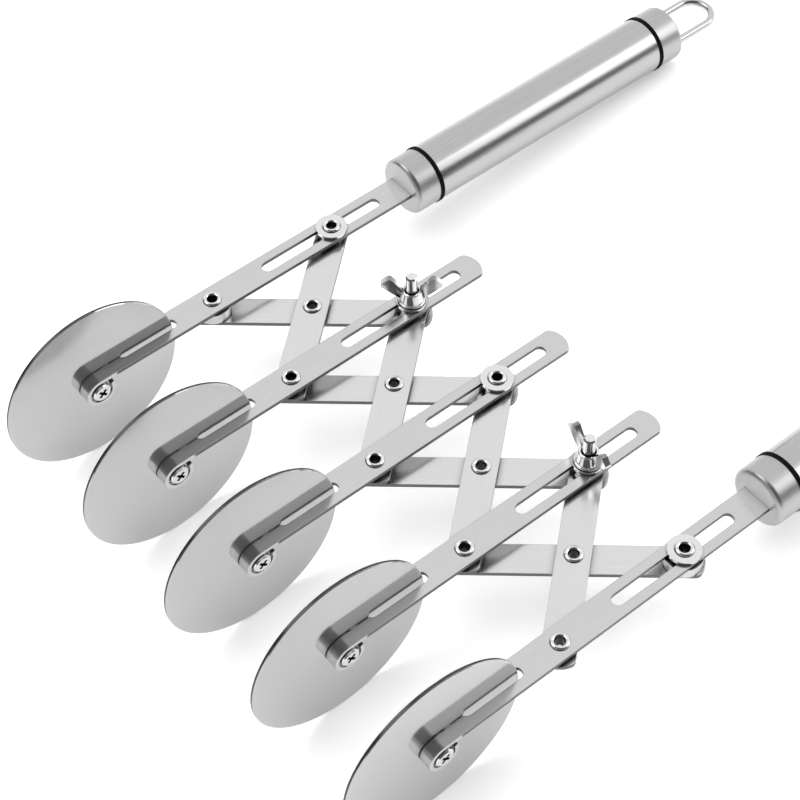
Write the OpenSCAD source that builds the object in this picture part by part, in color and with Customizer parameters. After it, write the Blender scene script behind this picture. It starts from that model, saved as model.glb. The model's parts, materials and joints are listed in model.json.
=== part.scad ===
// Expandable dough cutter: five cutting wheels on a scissor frame with two handles.
// The cutter lies as it is put down on a table, on its wheels and on the ends of its handles.
// X runs along the row of wheels, Y runs from the wheels to the handles, Z is up.

/* [Cutting wheels] */
// Diameter of a cutting wheel
wheel_d = 60; // [52:1:70]
// Thickness of a cutting wheel
wheel_t = 1.2; // [0.8:0.1:1.6]
// Chamfer on both edges of the rim
wheel_edge = 0.25; // [0.1:0.05:0.35]
// Gap between a wheel and each tine of its fork
wheel_gap = 0.3; // [0.2:0.05:0.5]
// End play between a wheel and each of its bushes
wheel_play = 0.1; // [0.05:0.05:0.15]
// Distance between neighbouring wheels, which the scissor frame sets
wheel_spacing = 40; // [14:0.5:57]

/* [Strips] */
// Width of the flat steel strip of the arms and the links
strip_w = 10; // [9:0.5:12]
// Thickness of that strip
strip_t = 1.3; // [1:0.1:1.6]
// Gap between one layer of strip and the next, which washers fill
layer_gap = 1.2; // [0.8:0.1:1.6]
// Radius of the crown at the end of a strip
end_arc = 7; // [6:0.5:9]
// Radius of the two corners beside that crown
end_corner = 2; // [1:0.25:3]

/* [Forks] */
// Outer diameter of the curled eye that holds the axle
eye_d = 10.2; // [9:0.2:12]
// Angle above the horizontal at which the curled strip ends behind the axle
eye_end_angle = 25; // [0:1:35]
// Width of the wheel slot behind the eye
fork_slot_w = 3.6; // [3:0.1:4.5]
// Distance from the axle to the front end of that slot
fork_front = 10; // [8:0.5:14]
// Clear distance from the wheel's rim to the rear end of that slot
fork_clear = 1.2; // [0.8:0.1:3]

/* [Axles] */
// Diameter of the axle screw's shank
axle_d = 3.8; // [3:0.1:4.4]
// Diameter of the axle screw's head
axle_head_d = 6.2; // [5.4:0.1:6.6]
// Height of the axle screw's head
axle_head_h = 2; // [1.6:0.1:2.4]
// Depth by which the head's seat lies inside the eye
axle_head_sink = 1.4; // [1:0.1:1.8]
// Length by which the threaded bush stands out of the eye
bush_proud = 0.2; // [0.1:0.1:0.6]
// Width of the cross recess in the screw's head
cross_w = 0.9; // [0.6:0.1:1.2]
// Length of the cross recess
cross_l = 3.4; // [2.6:0.1:4]
// Depth of the cross recess
cross_depth = 1; // [0.6:0.1:1.4]

/* [Scissor links] */
// Distance between the two end holes of a link
link_l = 61.5; // [60:0.5:66]
// Distance from an end hole to the crown of the link's end
link_end_l = 6.5; // [6:0.25:8]
// Distance from the wheel slot to the arm's fixed pivot
pivot_set = 13.8; // [13:0.2:18]
// Distance from the fixed pivot to the front end of the slide slot
slide_set = 19.5; // [12:0.5:21]
// Length of the slide slot
slide_l = 46.2; // [45:0.2:52]
// Width of the slide slot
slide_w = 4; // [4:0.1:4.6]
// Distance from the slide slot to the tip of an inner arm
tip_l = 7.5; // [6:0.25:10]

/* [Rivets and washers] */
// Diameter of a tubular rivet
rivet_d = 3.8; // [3.4:0.1:3.9]
// Bore of a tubular rivet
rivet_bore = 3; // [2.4:0.1:3.1]
// Diameter of a rivet's rolled rim
rim_d = 5.8; // [5.2:0.1:6.6]
// Diameter of the washers between the strips
washer_d = 8; // [7:0.25:9.5]
// Diameter of the washers on the slide slots
slide_washer_d = 10; // [8:0.25:11]
// Diameter of the washers under the wing nuts
nut_washer_d = 9.4; // [8:0.2:11]
// Thickness of the washers on the slide slots
slide_washer_t = 1; // [0.6:0.1:1.4]
// Diameter of the spacers at the two ends of the frame
spacer_d = 11.6; // [9:0.2:12.6]

/* [Wing nuts] */
// Diameter of a wing nut's flange
flange_d = 8.6; // [7.8:0.1:9.2]
// Height of the flange
flange_h = 0.9; // [0.6:0.1:1.2]
// Diameter of the hub above the flange
hub_d = 7.4; // [7:0.1:7.8]
// Diameter of the hub at its top
hub_top_d = 6.2; // [5.6:0.1:7]
// Height of the hub
hub_h = 4.6; // [4:0.1:6]
// Length of a wing, measured from the bolt's centre line
wing_l = 12.2; // [10:0.2:14]
// Width of a wing at its tip
wing_w = 4.2; // [3.4:0.1:4.8]
// Width of a wing at its root
wing_root_w = 2.4; // [2:0.1:3.4]
// Thickness of a wing
wing_t = 2; // [1.4:0.1:2.4]
// Angle at which the wings rise
wing_rise = 47; // [38:1:52]
// Direction of the wings of the nut on arm 2
wing_angle_2 = 50; // [-180:1:180]
// Direction of the wings of the nut on arm 4
wing_angle_4 = -8; // [-180:1:180]
// Length of bolt that shows above an arm
bolt_reach = 11.8; // [9:0.2:14]
// Diameter of the bolt's head
bolt_head_d = 7.4; // [6.6:0.2:8.4]
// Height of the bolt's head
bolt_head_h = 2.6; // [2:0.1:3.2]

/* [Handles] */
// Distance from the slide slot to the front face of the handle
handle_set = 9.7; // [8:0.1:13]
// Diameter of the handle
handle_d = 19.1; // [18:0.1:21]
// Length of the front cap
front_cap_l = 8.8; // [7:0.2:14]
// Length of the tube
tube_l = 95.4; // [80:0.2:110]
// Length of the end cap
end_cap_l = 9.3; // [8:0.1:14]
// Wall of the tube
tube_wall = 1; // [0.7:0.1:1.3]
// Width of the dark rings between the tube and its caps
ring_w = 1.3; // [1:0.1:2]
// Height by which a ring stands out of the handle
ring_proud = 0.3; // [0.1:0.05:0.4]
// Rounding of the front cap's edge
front_round = 1.5; // [0.8:0.1:1.8]
// Rounding of the end cap's edge
end_round = 1.2; // [0.8:0.1:2.5]
// Thickness of the front cap's face
front_wall = 2; // [1.5:0.25:3]
// Thickness of the end cap's face
end_wall = 5; // [4:0.25:7]
// Length of the caps' spigots inside the tube
spigot_l = 8; // [5:0.5:12]
// Wall of the spigots
spigot_wall = 0.9; // [0.6:0.1:1.2]
// Length of arm strip inside a handle
tang_l = 30; // [20:1:40]

/* [Hanging loops] */
// Diameter of the loop's wire
wire_d = 2.6; // [2:0.1:3]
// Width of the loop, between the middles of its legs
loop_w = 12.9; // [11:0.1:13.4]
// Length of straight leg outside the end cap
loop_leg = 13.8; // [10:0.2:18]

/* [Fits] */
// Radial clearance of a turning or sliding pin
pin_fit = 0.05; // [0.03:0.01:0.08]
// End clearance between stacked pieces
face_fit = 0.05; // [0.03:0.01:0.1]
// Radial clearance of a piece that is pressed or glued in
press_fit = 0.02; // [0.01:0.01:0.04]

/* [Hidden] */
$fn = 96;

// Length by which a cut passes the surface that it opens
overrun = 1;

ARMS = [1 : 5];
MIDDLE_ARM = 3;
HANDLE_ARMS = [1, 5];
LINKS = [1 : 4];
NUT_ARMS = [2, 4];

// Width of the slit between the tines, and half the width of a strip
slit_w = wheel_t + 2 * wheel_gap;
half_w = strip_w / 2;

// Radii of the round pieces
wheel_r = wheel_d / 2;
eye_r = eye_d / 2;
eye_bore_r = eye_r - strip_t;
axle_r = axle_d / 2;
rivet_r = rivet_d / 2;
wire_r = wire_d / 2;
handle_r = handle_d / 2;
tube_bore_r = handle_r - tube_wall;
spigot_r = tube_bore_r - pin_fit;
cavity_r = spigot_r - spigot_wall;

// Easing of a wing nut's hub at its top, inside and out
top_edge = (hub_top_d / 2 - rivet_r) / 3;

// Heights of the strip's layers above the axle
arm_top = eye_r;
arm_bottom = arm_top - strip_t;
link_a_top = arm_bottom - layer_gap;
link_a_bottom = link_a_top - strip_t;
link_b_top = link_a_bottom - layer_gap;
link_b_bottom = link_b_top - strip_t;
slide_washer_top = arm_top + face_fit + slide_washer_t;
handle_axis = arm_top - strip_t / 2;

// Distances behind the axle, along an arm
fork_end = wheel_r + fork_clear;
pivot_y = fork_end + pivot_set;
slide_front = pivot_y + slide_set;
slide_end = slide_front + slide_l;
tip_y = slide_end + tip_l;
face_y = slide_end + handle_set;
front_ring_y = face_y + front_cap_l;
tube_y = front_ring_y + ring_w;
rear_ring_y = tube_y + tube_l;
end_cap_y = rear_ring_y + ring_w;
handle_end = end_cap_y + end_cap_l;
bend_y = handle_end + loop_leg;

// Rise of a link along its arms, and the place of the sliding pins
pin_reach = sqrt(pow(link_l, 2) - pow(wheel_spacing, 2));
slide_y = pivot_y + pin_reach;
link_angle = atan2(pin_reach, wheel_spacing);

// Lean of the arms when the wheels and the end caps stand on the table
cap_drop = handle_r - end_round - handle_axis;
cap_contact_y = handle_end - end_round;
lean = asin((wheel_r - end_round) / norm([cap_contact_y, cap_drop])) - atan2(cap_drop, cap_contact_y);
loop_back = (bend_y + loop_w / 2) * cos(lean) + handle_axis * sin(lean) + wire_r;
axle_y = (wheel_r - loop_back) / 2;

// Position of an arm's own frame, whose origin is on the axle and whose Y runs along the arm
module on_arm(i)
    translate([0, axle_y, wheel_r])
        rotate([-lean, 0, 0])
            translate([(i - MIDDLE_ARM) * wheel_spacing, 0, 0])
                children();

// Fixed pivot, sliding pin and crossing of the links that start at arm i
module at_pivot(i) on_arm(i) translate([0, pivot_y, 0]) children();
module at_slide(i) on_arm(i) translate([0, slide_y, 0]) children();
module at_crossing(i) on_arm(i) translate([wheel_spacing / 2, pivot_y + pin_reach / 2, 0]) children();

// A round piece along the axle, and one along the handle
module along_axle() rotate([0, 90, 0]) children();
module along_handle(y) translate([0, y, handle_axis]) rotate([-90, 0, 0]) children();

// Side view of a piece, spread across the strip
module across_strip(width) rotate([90, 0, 90]) linear_extrude(width, center = true) children();

// Plan of a strip whose crowned end is at the given length
module crowned_plan(length) {
    corner_x = half_w - end_corner;
    corner_y = sqrt(pow(end_arc - end_corner, 2) - pow(corner_x, 2));
    reach_share = 2 * end_arc / corner_y;
    arc_y = length - end_arc;
    translate([-half_w, 0]) square([strip_w, arc_y + corner_y]);
    for (side = [-1, 1]) translate([side * corner_x, arc_y + corner_y]) circle(end_corner);
    translate([0, arc_y]) intersection() {
        circle(end_arc);
        polygon([[0, 0], reach_share * [corner_x, corner_y], reach_share * [-corner_x, corner_y]]);
    }
}

// Plan of a slot with round ends along Y
module slot_plan(width, start, end) {
    translate([-width / 2, start + width / 2]) square([width, end - start - width]);
    for (y = [start + width / 2, end - width / 2]) translate([0, y]) circle(width / 2);
}

// Ring with a bore, standing on a height
module ring_piece(outer_d, bore_r, base, height)
    translate([0, 0, base]) difference() {
        cylinder(h = height, d = outer_d);
        translate([0, 0, -overrun]) cylinder(h = height + 2 * overrun, r = bore_r);
    }

// Tubular rivet whose rolled rims hold everything between two heights
module tube_rivet(low, high) {
    bead_r = (rim_d - rivet_bore) / 4;
    bead_x = rivet_bore / 2 + bead_r;
    rotate_extrude() {
        translate([rivet_bore / 2, low]) square([rivet_r - rivet_bore / 2, high - low]);
        intersection() {
            translate([bead_x, high]) circle(bead_r);
            translate([0, high]) square([rim_d, bead_r]);
        }
        intersection() {
            translate([bead_x, low]) circle(bead_r);
            translate([0, low - bead_r]) square([rim_d, bead_r]);
        }
    }
}

// Side view of an arm: a flat strip whose front end curls down into the axle's eye
module arm_side(length) {
    translate([0, arm_bottom]) square([length, strip_t]);
    difference() {
        circle(eye_r);
        circle(eye_bore_r);
        polygon([
            [0, 0],
            eye_d * [cos(eye_end_angle), sin(eye_end_angle)],
            [eye_d, eye_d],
            [0, eye_d]
        ]);
    }
}

// Flat steel arm, forked round its wheel, with its pivot hole and its slide slot
module arm(i) {
    inner = i > 1 && i < 5;
    length = inner ? tip_y : face_y + tang_l;
    cut_h = eye_d + 2 * overrun;
    color("gainsboro") on_arm(i) difference() {
        intersection() {
            across_strip(strip_w) arm_side(length);
            translate([0, 0, -cut_h / 2]) linear_extrude(cut_h) {
                translate([-half_w, -eye_d]) square([strip_w, eye_d]);
                if (inner) crowned_plan(length);
                else translate([-half_w, 0]) square([strip_w, length]);
            }
        }
        translate([0, 0, -cut_h / 2]) linear_extrude(cut_h) {
            translate([-slit_w / 2, -eye_d]) square([slit_w, eye_d + fork_front + fork_slot_w / 2]);
            slot_plan(fork_slot_w, fork_front, fork_end);
            slot_plan(slide_w, slide_front, slide_end);
        }
        translate([0, pivot_y, -cut_h / 2]) cylinder(h = cut_h, r = rivet_r + pin_fit);
    }
}

// Thin steel disc with chamfered rim, turning on the axle screw
module cutting_wheel(i)
    color("silver") on_arm(i) along_axle() rotate_extrude() polygon([
        [axle_r + pin_fit, -wheel_t / 2],
        [wheel_r - wheel_edge, -wheel_t / 2],
        [wheel_r, wheel_edge - wheel_t / 2],
        [wheel_r, wheel_t / 2 - wheel_edge],
        [wheel_r - wheel_edge, wheel_t / 2],
        [axle_r + pin_fit, wheel_t / 2]
    ]);

// Screw with a cross recess, from the plain bush through the wheel into the threaded bush
module axle_screw(i) {
    seat = half_w - axle_head_sink;
    head_edge = axle_head_h / 4;
    color("lightgray") on_arm(i) along_axle() difference() {
        union() {
            translate([0, 0, -half_w - bush_proud]) cylinder(h = seat + half_w + bush_proud, r = axle_r);
            translate([0, 0, seat]) cylinder(h = axle_head_h - head_edge, d = axle_head_d);
            translate([0, 0, seat + axle_head_h - head_edge])
                cylinder(h = head_edge, d1 = axle_head_d, d2 = axle_head_d - 2 * head_edge);
        }
        for (turn = [45, 135])
            translate([0, 0, seat + axle_head_h]) rotate([0, 0, turn])
                cube([cross_l, cross_w, 2 * cross_depth], center = true);
    }
}

// Plain bush under the screw's head and threaded bush at its end, pressed into the two tines
module axle_bushes(i) {
    inner_face = wheel_t / 2 + wheel_play;
    bush_d = 2 * (eye_bore_r - press_fit);
    color("darkgray") on_arm(i) along_axle() {
        ring_piece(bush_d, axle_r + pin_fit, inner_face, half_w - axle_head_sink - inner_face);
        ring_piece(bush_d, axle_r + pin_fit, -half_w - bush_proud, half_w + bush_proud - inner_face);
    }
}

// Flat link with a hole at each end and one at its middle
module link_strip(bottom)
    translate([0, 0, bottom]) difference() {
        linear_extrude(strip_t)
            for (turn = [0, 180]) rotate(turn) crowned_plan(link_l / 2 + link_end_l);
        for (y = [-link_l / 2, 0, link_l / 2])
            translate([0, y, -overrun]) cylinder(h = strip_t + 2 * overrun, r = rivet_r + pin_fit);
    }

// Upper link, from the sliding pin of one arm to the fixed pivot of the next
module link_a(i)
    color("gainsboro") at_crossing(i) rotate([0, 0, 90 - link_angle]) link_strip(link_a_bottom);

// Lower link, from the fixed pivot of one arm to the sliding pin of the next
module link_b(i)
    color("gainsboro") at_crossing(i) rotate([0, 0, link_angle - 90]) link_strip(link_b_bottom);

// Rivets that turn with an upper link: its crossing, its fixed pivot and, without a wing bolt, its slide
module link_rivets(i) {
    pivot_low = i < 4 ? link_b_bottom : link_a_bottom;
    slide_low = i > 1 ? link_b_bottom : link_a_bottom;
    color("whitesmoke") {
        at_crossing(i) tube_rivet(link_b_bottom - face_fit, link_a_top + face_fit);
        at_pivot(i + 1) tube_rivet(pivot_low - face_fit, arm_top + face_fit);
        if (i % 2 == 1) at_slide(i) tube_rivet(slide_low - face_fit, slide_washer_top + face_fit);
    }
}

// Washers between the strips at the pins of an upper link
module link_washers(i) {
    height = layer_gap - 2 * face_fit;
    color("silver") {
        at_crossing(i) ring_piece(washer_d, rivet_r + pin_fit, link_b_top + face_fit, height);
        at_pivot(i + 1) {
            ring_piece(washer_d, rivet_r + pin_fit, link_a_top + face_fit, height);
            if (i < 4) ring_piece(washer_d, rivet_r + pin_fit, link_b_top + face_fit, height);
        }
        at_slide(i) {
            ring_piece(washer_d, rivet_r + pin_fit, link_a_top + face_fit, height);
            if (i > 1) ring_piece(washer_d, rivet_r + pin_fit, link_b_top + face_fit, height);
        }
    }
}

// Rivet at the outer end of the first and the last lower link
module end_rivet(i)
    color("whitesmoke") {
        if (i == 1) at_pivot(i) tube_rivet(link_b_bottom - face_fit, arm_top + face_fit);
        else at_slide(i) tube_rivet(link_b_bottom - face_fit, slide_washer_top + face_fit);
    }

// Thick spacer that stands in for the missing upper link at an end of the frame
module spacer(i) {
    height = arm_bottom - link_b_top - 2 * face_fit;
    color("silver") {
        if (i == 1) at_pivot(i) ring_piece(spacer_d, rivet_r + pin_fit, link_b_top + face_fit, height);
        else at_slide(i) ring_piece(spacer_d, rivet_r + pin_fit, link_b_top + face_fit, height);
    }
}

// Washer that slides along the top of an arm with its pin
module slide_washer(i) {
    outer_d = i == 2 || i == 4 ? nut_washer_d : slide_washer_d;
    color("whitesmoke") at_slide(i)
        ring_piece(outer_d, rivet_r + pin_fit, arm_top + face_fit, slide_washer_t);
}

// Bolt that carries a wing nut, with its head below the lower link
module wing_bolt(i) {
    seat = link_b_bottom - face_fit;
    tip_edge = rivet_r / 4;
    shank_h = arm_top + bolt_reach - tip_edge - seat;
    color("silver") at_slide(i) {
        translate([0, 0, seat - bolt_head_h]) cylinder(h = bolt_head_h, d = bolt_head_d);
        translate([0, 0, seat]) cylinder(h = shank_h, r = rivet_r);
        translate([0, 0, seat + shank_h]) cylinder(h = tip_edge, r1 = rivet_r, r2 = rivet_r - tip_edge);
    }
}

// Side view of one wing, which widens towards its blunt tip and is cut off inside the hub
module wing_side() {
    corner = wing_w / 4;
    root = (hub_top_d + rivet_d) / 4;
    intersection() {
        rotate(wing_rise) {
            polygon([
                [0, -wing_root_w / 2],
                [wing_l - corner, -wing_w / 2],
                [wing_l, corner - wing_w / 2],
                [wing_l, wing_w / 2 - corner],
                [wing_l - corner, wing_w / 2],
                [0, wing_root_w / 2]
            ]);
            for (side = [-1, 1]) translate([wing_l - corner, side * (wing_w / 2 - corner)]) circle(corner);
        }
        translate([root, 0]) square([wing_l, wing_l + wing_w]);
    }
}

// Half section of a wing nut's hub: a thin rounded flange under a tapered collar with an eased top
module hub_section() {
    flange_edge = flange_h / 2;
    square([flange_d / 2 - flange_edge, flange_h]);
    translate([flange_d / 2 - flange_edge, flange_edge]) circle(flange_edge);
    polygon([
        [0, 0],
        [hub_d / 2, 0],
        [hub_d / 2, flange_h],
        [hub_top_d / 2, hub_h - top_edge],
        [0, hub_h - top_edge]
    ]);
    translate([0, hub_h - top_edge]) square([hub_top_d / 2 - top_edge, top_edge]);
    translate([hub_top_d / 2 - top_edge, hub_h - top_edge]) circle(top_edge);
}

// Wing nut: a flanged hub, countersunk at its top, with two wings, clamping the sliding pin to its arm
module wing_nut(i) {
    turn = i == 2 ? wing_angle_2 : wing_angle_4;
    base = slide_washer_top + face_fit;
    bore_r = rivet_r + pin_fit;
    sink_r = bore_r + 2 * top_edge;
    color("silver") at_slide(i) translate([0, 0, base]) rotate([0, 0, turn]) difference() {
        union() {
            rotate_extrude() hub_section();
            for (side = [0, 180]) rotate([90, 0, side])
                linear_extrude(wing_t, center = true) wing_side();
        }
        translate([0, 0, -overrun]) cylinder(h = hub_h + 2 * overrun, r = bore_r);
        translate([0, 0, hub_h - top_edge]) cylinder(h = 2 * top_edge, r1 = bore_r, r2 = sink_r);
    }
}

// Half section of a cap: an outer body with one rounded edge, and a hollow spigot behind it
module cap_section(radius, length, rounding, wall) {
    difference() {
        union() {
            square([radius - rounding, length]);
            translate([0, rounding]) square([radius, length - rounding]);
            translate([radius - rounding, rounding]) circle(rounding);
            translate([0, length]) square([spigot_r, ring_w + spigot_l]);
        }
        translate([0, wall]) square([cavity_r, length + ring_w + spigot_l]);
        translate([-radius, 0]) square([radius, length]);
    }
}

// Polished cap at the front of a handle, slotted for the arm's tang
module front_cap(i) {
    tang_slot = [strip_w + 2 * press_fit, 2 * (front_wall + overrun), strip_t + 2 * press_fit];
    color("gainsboro") on_arm(i) difference() {
        along_handle(face_y) rotate_extrude() cap_section(handle_r, front_cap_l, front_round, front_wall);
        translate([0, face_y, handle_axis]) cube(tang_slot, center = true);
    }
}

// Plain tube of a handle
module handle_tube(i)
    color("silver") on_arm(i) along_handle(0) ring_piece(handle_d, tube_bore_r, tube_y, tube_l);

// Dark rings at both ends of the tube
module handle_rings(i)
    color("dimgray") on_arm(i) {
        for (y = [front_ring_y, rear_ring_y])
            along_handle(0) ring_piece(handle_d + 2 * ring_proud, spigot_r + press_fit, y, ring_w);
    }

// Rounded cap at the rear of a handle, drilled for the hanging loop
module end_cap(i)
    color("gainsboro") on_arm(i) difference() {
        along_handle(handle_end) mirror([0, 0, 1])
            rotate_extrude() cap_section(handle_r, end_cap_l, end_round, end_wall);
        for (side = [-1, 1]) along_handle(handle_end) translate([side * loop_w / 2, 0, -end_wall - overrun])
            cylinder(h = end_wall + 2 * overrun, r = wire_r + press_fit);
    }

// Bent wire loop whose legs sit in the end cap
module hang_loop(i)
    color("lightgray") on_arm(i) {
        for (side = [-1, 1]) along_handle(bend_y) translate([side * loop_w / 2, 0, -loop_leg - end_wall])
            cylinder(h = loop_leg + end_wall, r = wire_r);
        translate([0, bend_y, handle_axis]) rotate_extrude(angle = 180)
            translate([loop_w / 2, 0]) circle(wire_r);
    }

for (i = ARMS) {
    arm(i);
    cutting_wheel(i);
    axle_screw(i);
    axle_bushes(i);
    slide_washer(i);
}
for (i = LINKS) {
    link_a(i);
    link_b(i);
    link_rivets(i);
    link_washers(i);
}
for (i = NUT_ARMS) {
    wing_bolt(i);
    wing_nut(i);
}
for (i = HANDLE_ARMS) {
    end_rivet(i);
    spacer(i);
    front_cap(i);
    handle_tube(i);
    handle_rings(i);
    end_cap(i);
    hang_loop(i);
}
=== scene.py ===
import json
import math

import bmesh
import bpy
from mathutils import Matrix, Vector

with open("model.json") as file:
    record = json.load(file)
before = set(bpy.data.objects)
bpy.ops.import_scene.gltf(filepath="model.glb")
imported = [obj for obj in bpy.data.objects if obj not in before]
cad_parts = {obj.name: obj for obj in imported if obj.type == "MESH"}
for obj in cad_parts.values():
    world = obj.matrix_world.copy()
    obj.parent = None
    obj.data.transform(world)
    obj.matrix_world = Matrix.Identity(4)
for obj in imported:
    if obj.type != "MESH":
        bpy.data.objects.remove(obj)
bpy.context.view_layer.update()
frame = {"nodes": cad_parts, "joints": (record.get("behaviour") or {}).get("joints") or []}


# Arms
# Five flat strips of stainless steel, satin ground along their length. The front end of each is slit
# and curled into the fork of its wheel, and the outer two run on as tangs into the handles.
class Value:
    """One output in a material's nodes; sums on it add Math nodes to the same material."""

    def __init__(self, tree, socket):
        self.tree = tree
        self.socket = socket

    def node(self, kind, settings, output, **sockets):
        """A new node's output. A socket goes by its name, with _ for a space, or by i and its number."""
        made = self.tree.nodes.new(kind)
        for name, value in settings.items():
            setattr(made, name, value)
        for name, value in sockets.items():
            key = int(name[1:]) if name[1:].isdigit() else name.replace("_", " ")
            if isinstance(value, Value):
                self.tree.links.new(value.socket, made.inputs[key])
            else:
                made.inputs[key].default_value = value
        return Value(self.tree, made.outputs[output])

    def math(self, operation, first, second):
        return self.node("ShaderNodeMath", {"operation": operation}, 0, i0=first, i1=second)

    def __add__(self, other):
        return self.math("ADD", self, other)

    def __radd__(self, other):
        return self.math("ADD", other, self)

    def __sub__(self, other):
        return self.math("SUBTRACT", self, other)

    def __rsub__(self, other):
        return self.math("SUBTRACT", other, self)

    def __mul__(self, other):
        return self.math("MULTIPLY", self, other)

    def __rmul__(self, other):
        return self.math("MULTIPLY", other, self)

    def __abs__(self):
        return self.math("ABSOLUTE", self, 0)

    def rise(self, low, high):
        """From 0 at the low value to 1 at the high one, with soft ends."""
        smooth = {"interpolation_type": "SMOOTHSTEP"}
        return self.node("ShaderNodeMapRange", smooth, 0, i0=self, i1=low, i2=high)

    def between(self, first, second):
        """The first colour where this value is 0, and the second where it is 1."""
        return self.node("ShaderNodeMix", {"data_type": "RGBA"}, 2, i0=self, i6=first, i7=second)

    def darken(self, colour):
        """The colour times this value."""
        multiply = {"data_type": "RGBA", "blend_type": "MULTIPLY"}
        return self.node("ShaderNodeMix", multiply, 2, i0=1, i6=colour, i7=self)


def steel_colour(shade):
    """A grey with the faint blue of steel."""
    return (shade, shade, shade * 1.005, 1)


def bare_metal(name, shade, edge):
    """A new metal and its shader, with places in space and a normal that eases edges by a radius."""
    metal = bpy.data.materials.new(name)
    metal.use_nodes = True
    shader = metal.node_tree.nodes["Principled BSDF"]
    shader.inputs["Metallic"].default_value = 1
    shader.inputs["Base Color"].default_value = (shade, shade, shade, 1)
    start = Value(metal.node_tree, None)
    place = start.node("ShaderNodeTexCoord", {}, "Object")
    eased = start.node("ShaderNodeBevel", {"samples": 6}, "Normal", Radius=edge)
    return metal, shader, place, eased


def feed(shader, name, value):
    value.tree.links.new(value.socket, shader.inputs[name])


def coat(nodes, metal):
    for name in nodes:
        mesh = frame["nodes"][name].data
        mesh.materials.clear()
        mesh.materials.append(metal)


scratch_depth = 0.0001
joints = {joint["name"]: joint for joint in frame["joints"]}
arm_up = -Vector(joints["frame_spread"]["axis"])
arm_lean = math.atan2(arm_up.y, arm_up.z)
arm_turn = Matrix.Rotation(-arm_lean, 3, "X")
axle_y = joints["wheel_1_spin"]["pos_m"][1]


def ground_strip(name, shade, swing, painted_shade):
    """Satin steel, ground along a strip that is swung by an angle in the arms' plane.

    Its sheared edges are rougher, and painted shade darkens their colour. Its top gets painted shade
    close under other pieces, as much as the last argument says.
    """
    painted_cut_shade = 0.18
    edge = 0.0003
    shade_reach = 0.004
    eye_end = axle_y + 0.006
    cut_start = eye_end + 0.001
    lines_per_m = 2600
    streaks_per_m = 45
    clouds_per_m = 90
    metal, shader, place, eased = bare_metal(name, shade, edge)

    turn = (arm_turn @ Matrix.Rotation(swing, 3, "Z")).inverted().to_euler()
    along = place.node("ShaderNodeMapping", {}, 0, Vector=place, Rotation=turn)
    stretch = (lines_per_m, streaks_per_m, lines_per_m)
    fine = along.node("ShaderNodeMapping", {}, 0, Vector=along, Scale=stretch)
    lines = fine.node("ShaderNodeTexNoise", {}, 0, Vector=fine, Scale=1, Detail=3, Roughness=0.6)
    cloud = along.node("ShaderNodeTexNoise", {}, 0, Vector=along, Scale=clouds_per_m,
                       Detail=4, Roughness=0.55)

    outward = place.node("ShaderNodeTexCoord", {}, "Normal")
    facing = outward.node("ShaderNodeVectorMath", {"operation": "DOT_PRODUCT"}, 1,
                          i0=outward, i1=arm_up)
    across = abs(outward.node("ShaderNodeSeparateXYZ", {}, "X", Vector=outward))
    reach = place.node("ShaderNodeSeparateXYZ", {}, "Y", Vector=place)
    rolled = 1 - across.rise(0.5, 0.8)
    flat = rolled * abs(facing).rise(0.45, 0.75)
    # Painted shade: the cut edges behind the eye get a dark colour, and they are also rougher.
    sheared_and_shaded = (1 - flat) * reach.rise(eye_end, cut_start)
    feed(shader, "Roughness", 0.15 + lines * 0.08 + cloud * 0.06 + sheared_and_shaded * 0.22)

    # Painted shade: the top of the strip is darkened where other pieces lie close over it.
    open_air = place.node("ShaderNodeAmbientOcclusion", {"samples": 8}, "AO", Distance=shade_reach)
    shut_in = facing.rise(-0.2, 0.2) * (1 - open_air.rise(0.35, 0.9))
    tone = (0.905 + lines * 0.11 + cloud * 0.06) * (1 - shut_in * painted_shade)
    painted_cut_colour = (painted_cut_shade, painted_cut_shade, painted_cut_shade, 1)
    feed(shader, "Base Color", tone.darken(sheared_and_shaded.between(steel_colour(shade), painted_cut_colour)))
    bump = lines.node("ShaderNodeBump", {}, 0, Strength=0.06, Distance=scratch_depth,
                      Height=lines, Normal=eased)
    feed(shader, "Normal", bump)
    return metal


ARMS = range(1, 6)
arm_steel = ground_strip("arm_steel", shade=0.63, swing=0, painted_shade=0.3)
coat([f"arm_{i}" for i in ARMS], arm_steel)

# Scissor links
# Eight shorter strips of the same steel, crossed in pairs below the arms. Each turns on tubular
# rivets at its ends and its middle.
LINKS = range(1, 5)
link_shade = 0.72
link_painted_shade = 0.5
link_reach = Vector(joints["crossing_3"]["pos_m"]) - Vector(joints["frame_spread"]["pos_m"])
link_swing = math.atan2(link_reach.x, (arm_turn.inverted() @ link_reach).y)
upper_link_steel = ground_strip("upper_link_steel", link_shade, link_swing, link_painted_shade)
lower_link_steel = ground_strip("lower_link_steel", link_shade, -link_swing, link_painted_shade)
coat([f"link_a_{i}" for i in LINKS], upper_link_steel)
coat([f"link_b_{i}" for i in LINKS], lower_link_steel)


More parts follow.
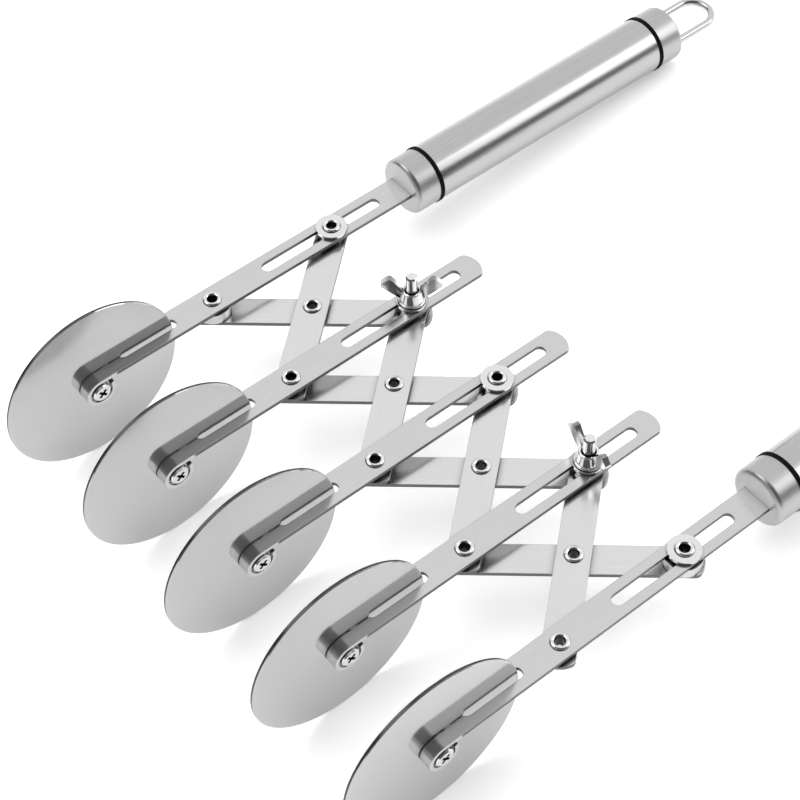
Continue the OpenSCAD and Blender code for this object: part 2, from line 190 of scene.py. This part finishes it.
# Rivets
# Tubular rivets of bright steel, rolled over at both ends, at the crossings, the fixed pivots and
# three of the sliding pins.
def bright_metal(name, shade, rough, edge, marks_per_m, shade_reach):
    """Polished steel with faint mottling, and painted shade that darkens corners nearer than the reach.
    """
    painted_corner_shade = 0.03
    metal, shader, place, eased = bare_metal(name, shade, edge)
    mottle = place.node("ShaderNodeTexNoise", {}, 0, Vector=place, Scale=marks_per_m,
                        Detail=5, Roughness=0.6)
    feed(shader, "Roughness", rough + mottle * rough)
    # Painted shade: bores, recesses and contact corners are darkened, where shade falls.
    open_air = place.node("ShaderNodeAmbientOcclusion", {"samples": 8}, "AO", Distance=shade_reach)
    unshaded = painted_corner_shade + (1 - painted_corner_shade) * open_air.rise(0.55, 0.85)
    tone = (0.94 + mottle * 0.1) * unshaded
    feed(shader, "Base Color", tone.darken(steel_colour(shade)))
    bump = mottle.node("ShaderNodeBump", {}, 0, Strength=0.04, Distance=scratch_depth,
                       Height=mottle, Normal=eased)
    feed(shader, "Normal", bump)
    return metal


rivet_steel = bright_metal("rivet_steel", shade=0.8, rough=0.12, edge=0.0001,
                           marks_per_m=700, shade_reach=0.005)
coat([f"link_rivets_{i}" for i in LINKS] + ["end_rivet_1", "end_rivet_5"], rivet_steel)

# Washers and spacers
# Punched steel washers between the strips and on top of the slots, under the heads of the sliding
# pins. Two thick turned spacers stand at the ends of the frame, where a link is missing.
washer_steel = bright_metal("washer_steel", shade=0.78, rough=0.12, edge=0.00015,
                            marks_per_m=900, shade_reach=0.0006)
coat([f"link_washers_{i}" for i in LINKS] + [f"slide_washer_{i}" for i in ARMS], washer_steel)
spacer_steel = bright_metal("spacer_steel", shade=0.66, rough=0.2, edge=0.0002,
                            marks_per_m=900, shade_reach=0.002)
coat(["spacer_1", "spacer_5"], spacer_steel)

# Cutting wheels
# Five thin discs of steel, polished like mirrors, with a rougher rim darkened by painted shade.
# Each turns on the screw between the tines of its arm.
wheel_shade = 0.63
wheel_metallic = 0.85
wheel_edge = 0.00008
rings_per_m = 2400
wheel_clouds_per_m = 60
for i in ARMS:
    steel, shader, place, eased = bare_metal(f"wheel_steel_{i}", wheel_shade, wheel_edge)
    shader.inputs["Metallic"].default_value = wheel_metallic
    axle = joints[f"wheel_{i}_spin"]["pos_m"]
    from_axle = place.node("ShaderNodeVectorMath", {"operation": "SUBTRACT"}, 0, i0=place, i1=axle)
    radius = from_axle.node("ShaderNodeVectorMath", {"operation": "LENGTH"}, 1, i0=from_axle)
    rings = radius.node("ShaderNodeTexNoise", {"noise_dimensions": "1D"}, 0,
                        W=radius * rings_per_m, Scale=1, Detail=2)
    cloud = place.node("ShaderNodeTexNoise", {}, 0, Vector=place, Scale=wheel_clouds_per_m,
                       Detail=4, Roughness=0.5)
    outward = place.node("ShaderNodeTexCoord", {}, "Normal")
    across = abs(outward.node("ShaderNodeSeparateXYZ", {}, "X", Vector=outward))
    rim_rough_and_shaded = 1 - across.rise(0.3, 0.8)
    feed(shader, "Roughness", 0.08 + rings * 0.02 + cloud * 0.02 + rim_rough_and_shaded * 0.1)
    # Painted shade: the rim's colour is darkened, and above it the rim is also made rougher.
    tone = (0.95 + cloud * 0.06) * (1 - rim_rough_and_shaded * 0.9)
    feed(shader, "Base Color", tone.darken(steel_colour(wheel_shade)))
    bump = rings.node("ShaderNodeBump", {}, 0, Strength=0.004, Distance=scratch_depth,
                      Height=rings, Normal=eased)
    feed(shader, "Normal", bump)
    coat([f"cutting_wheel_{i}"], steel)

# Axle screws and bushes
# Cross-recess screws of plated steel, each through its wheel from a plain bush in the near tine to a
# threaded bush in the far one. The bushes are pressed into the eyes of the fork.
screw_steel = bright_metal("screw_steel", shade=0.74, rough=0.12, edge=0.0001,
                           marks_per_m=1200, shade_reach=0.0012)
coat([f"axle_screw_{i}" for i in ARMS], screw_steel)
bush_steel = bright_metal("bush_steel", shade=0.74, rough=0.2, edge=0.0001,
                          marks_per_m=1200, shade_reach=0.0003)
coat([f"axle_bushes_{i}" for i in ARMS], bush_steel)

# Wing bolts and wing nuts
# Two bolts from below the links, each with a cast wing nut that clamps a sliding pin to its arm. The
# hubs and the tips of the wings are rubbed bright, and the flats of the wings keep their cast skin.
NUT_ARMS = (2, 4)
bolt_steel = bright_metal("bolt_steel", shade=0.8, rough=0.08, edge=0.0001,
                          marks_per_m=1200, shade_reach=0.001)
coat([f"wing_bolt_{i}" for i in NUT_ARMS], bolt_steel)
nut_shade = 0.8
cast_shade = 0.3
cast_skin = (cast_shade, cast_shade, cast_shade, 1)
nut_edge = 0.0003
hub_end, wing_start = 0.0043, 0.0055
wing_end, tip_start = 0.0068, 0.0084
grains_per_m = 900
for i in NUT_ARMS:
    steel, shader, place, eased = bare_metal(f"nut_steel_{i}", nut_shade, nut_edge)
    bolt = joints[f"wing_nut_{i}_turn"]
    offset = place.node("ShaderNodeVectorMath", {"operation": "SUBTRACT"}, 0,
                        i0=place, i1=bolt["pos_m"])
    sideways = offset.node("ShaderNodeVectorMath", {"operation": "CROSS_PRODUCT"}, 0,
                           i0=offset, i1=bolt["axis"])
    radius = sideways.node("ShaderNodeVectorMath", {"operation": "LENGTH"}, 1, i0=sideways)
    cast = radius.rise(hub_end, wing_start) * (1 - radius.rise(wing_end, tip_start))
    grain = place.node("ShaderNodeTexNoise", {}, 0, Vector=place, Scale=grains_per_m,
                       Detail=5, Roughness=0.6)
    feed(shader, "Roughness", 0.05 + grain * 0.05 + cast * 0.25)
    skin = cast * (0.9 + grain * 0.2)
    feed(shader, "Base Color", skin.between(steel_colour(nut_shade), cast_skin))
    bump = grain.node("ShaderNodeBump", {}, 0, Strength=0.1, Distance=scratch_depth,
                      Height=grain * cast, Normal=eased)
    feed(shader, "Normal", bump)
    coat([f"wing_nut_{i}"], steel)

# Handles
# Straight steel tubes, satin ground along their length, between duller satin caps. Black rubber
# rings part the tubes from the caps, and a bent wire loop is set in each end cap.
HANDLE_ARMS = (1, 5)
handle_shade = 0.5
handle_edge = 0.0003
handle_stretch = (2400, 30, 2400)
handle_clouds_per_m = 80
handle_turn = arm_turn.inverted().to_euler()
for pieces, rough in ((["handle_tube"], 0.19), (["front_cap", "end_cap"], 0.31)):
    steel, shader, place, eased = bare_metal(f"{pieces[0]}_steel", handle_shade, handle_edge)
    along = place.node("ShaderNodeMapping", {}, 0, Vector=place, Rotation=handle_turn)
    fine = along.node("ShaderNodeMapping", {}, 0, Vector=along, Scale=handle_stretch)
    lines = fine.node("ShaderNodeTexNoise", {}, 0, Vector=fine, Scale=1, Detail=3, Roughness=0.6)
    cloud = place.node("ShaderNodeTexNoise", {}, 0, Vector=place, Scale=handle_clouds_per_m,
                       Detail=4, Roughness=0.55)
    feed(shader, "Roughness", rough + lines * 0.06 + cloud * 0.05)
    tone = 0.84 + lines * 0.24 + cloud * 0.05
    feed(shader, "Base Color", tone.darken(steel_colour(handle_shade)))
    bump = lines.node("ShaderNodeBump", {}, 0, Strength=0.1, Distance=scratch_depth,
                      Height=lines, Normal=eased)
    feed(shader, "Normal", bump)
    coat([f"{piece}_{i}" for piece in pieces for i in HANDLE_ARMS], steel)

ring_black = (0.002, 0.002, 0.002, 1)
ring_dust = (0.006, 0.006, 0.006, 1)
specks_per_m = 2500
rubber = bpy.data.materials.new("ring_rubber")
rubber.use_nodes = True
shader = rubber.node_tree.nodes["Principled BSDF"]
shader.inputs["Specular IOR Level"].default_value = 0.05
place = Value(rubber.node_tree, None).node("ShaderNodeTexCoord", {}, "Object")
specks = place.node("ShaderNodeTexNoise", {}, 0, Vector=place, Scale=specks_per_m, Detail=3)
feed(shader, "Roughness", 0.5 + specks * 0.2)
feed(shader, "Base Color", specks.between(ring_black, ring_dust))
coat([f"handle_rings_{i}" for i in HANDLE_ARMS], rubber)

wire_steel = bright_metal("wire_steel", shade=0.6, rough=0.16, edge=0.0001,
                          marks_per_m=900, shade_reach=0.001)
coat([f"hang_loop_{i}" for i in HANDLE_ARMS], wire_steel)

# Table
# A plain white sheet, large enough to fill the view. It takes the shadows, and it shows as white to
# the eye and in the metal.
table_size = 6
table_shade = 0.9
table_rough = 0.9
seen_glow = 0.3
mirrored_glow = 0.15
table_mesh = bmesh.new()
bmesh.ops.create_grid(table_mesh, x_segments=1, y_segments=1, size=table_size / 2)
table_data = bpy.data.meshes.new("table")
table_mesh.to_mesh(table_data)
table_mesh.free()
table = bpy.data.objects.new("table", table_data)
bpy.context.scene.collection.objects.link(table)
white = bpy.data.materials.new("table_white")
white.use_nodes = True
tree = white.node_tree
shader = tree.nodes["Principled BSDF"]
shader.inputs["Base Color"].default_value = (table_shade, table_shade, table_shade, 1)
shader.inputs["Roughness"].default_value = table_rough
shader.inputs["Specular IOR Level"].default_value = 0
seen = Value(tree, None).node("ShaderNodeLightPath", {}, "Is Camera Ray")
mirrored = Value(tree, seen.socket.node.outputs["Is Glossy Ray"])
through = Value(tree, seen.socket.node.outputs["Is Transmission Ray"])
glow_level = seen * seen_glow + (mirrored + through) * mirrored_glow
glow = seen.node("ShaderNodeEmission", {}, 0, Strength=glow_level)
surface = seen.node("ShaderNodeAddShader", {}, 0, i0=Value(tree, shader.outputs[0]), i1=glow)
tree.links.new(surface.socket, tree.nodes["Material Output"].inputs["Surface"])
table_data.materials.append(white)

# Studio light
# A white cove behind the cutter, a paler one far in front, and a bright window high on the front
# left, with dim walls between. One soft lamp above makes the shadows, and one behind on the right
# shows as a bright band along the handles.
wall_level = 0.12
cove_level = 0.88
front_level = 0.5
window_level = 2.4
window_direction = (-0.44, -0.37, 0.82)
world = bpy.context.scene.world or bpy.data.worlds.new("studio")
bpy.context.scene.world = world
world.use_nodes = True
tree = world.node_tree
looking = Value(tree, None).node("ShaderNodeTexCoord", {}, "Generated")
depth = looking.node("ShaderNodeSeparateXYZ", {}, "Y", Vector=looking)
side = looking.node("ShaderNodeSeparateXYZ", {}, "X", Vector=looking)
cove = (depth - side * 0.4).rise(-0.04, 0.42) * (1 - side.rise(0.5, 0.75))
front = 1 - depth.rise(-0.95, -0.75)
window = looking.node("ShaderNodeVectorMath", {"operation": "DOT_PRODUCT"}, 1,
                      i0=looking, i1=window_direction).rise(0.93, 0.97)
level = wall_level + cove * cove_level + front * front_level + window * window_level
eye = looking.node("ShaderNodeLightPath", {}, "Is Camera Ray")
background = tree.nodes["Background"]
background.inputs["Color"].default_value = (1, 1, 1, 1)
tree.links.new((eye + (1 - eye) * level).socket, background.inputs["Strength"])


def soft_lamp(name, size, power, spot, aim, side):
    """A square-cornered lamp whose first side lies along the given direction."""
    lamp = bpy.data.lights.new(name, "AREA")
    lamp.shape = "RECTANGLE"
    lamp.size, lamp.size_y = size
    lamp.energy = power
    light = bpy.data.objects.new(name, lamp)
    away = (Vector(spot) - Vector(aim)).normalized()
    first = (Vector(side) - away * away.dot(Vector(side))).normalized()
    second = away.cross(first)
    light.location = spot
    light.rotation_euler = Matrix((first, second, away)).transposed().to_euler()
    bpy.context.scene.collection.objects.link(light)
    return light


shadow_lamp = soft_lamp("shadow_lamp", size=(1.35, 1.35), power=12, spot=(-0.12, 0.1, 1.25),
                        aim=(0, 0, 0), side=(1, 0, 0))
shadow_lamp.visible_glossy = False
soft_lamp("handle_lamp", size=(0.72, 0.75), power=3.4, spot=(0.596, 0.99, 0.671),
          aim=(-0.05, 0.05, 0.03), side=(0.767, -0.053, -0.641))

# Camera
# It stands to the right of the wheels and above them, and looks down along the arms to the handles
# at the back left.
camera_angles = (34.5166, 5.2213, 50.5446)
camera = bpy.data.objects.new("camera", bpy.data.cameras.new("camera"))
camera.data.lens = 95.54
camera.location = (0.292508, -0.238771, 0.544108)
camera.rotation_euler = [math.radians(angle) for angle in camera_angles]
bpy.context.scene.collection.objects.link(camera)
bpy.context.scene.camera = camera
bpy.context.scene.view_settings.view_transform = "Standard"
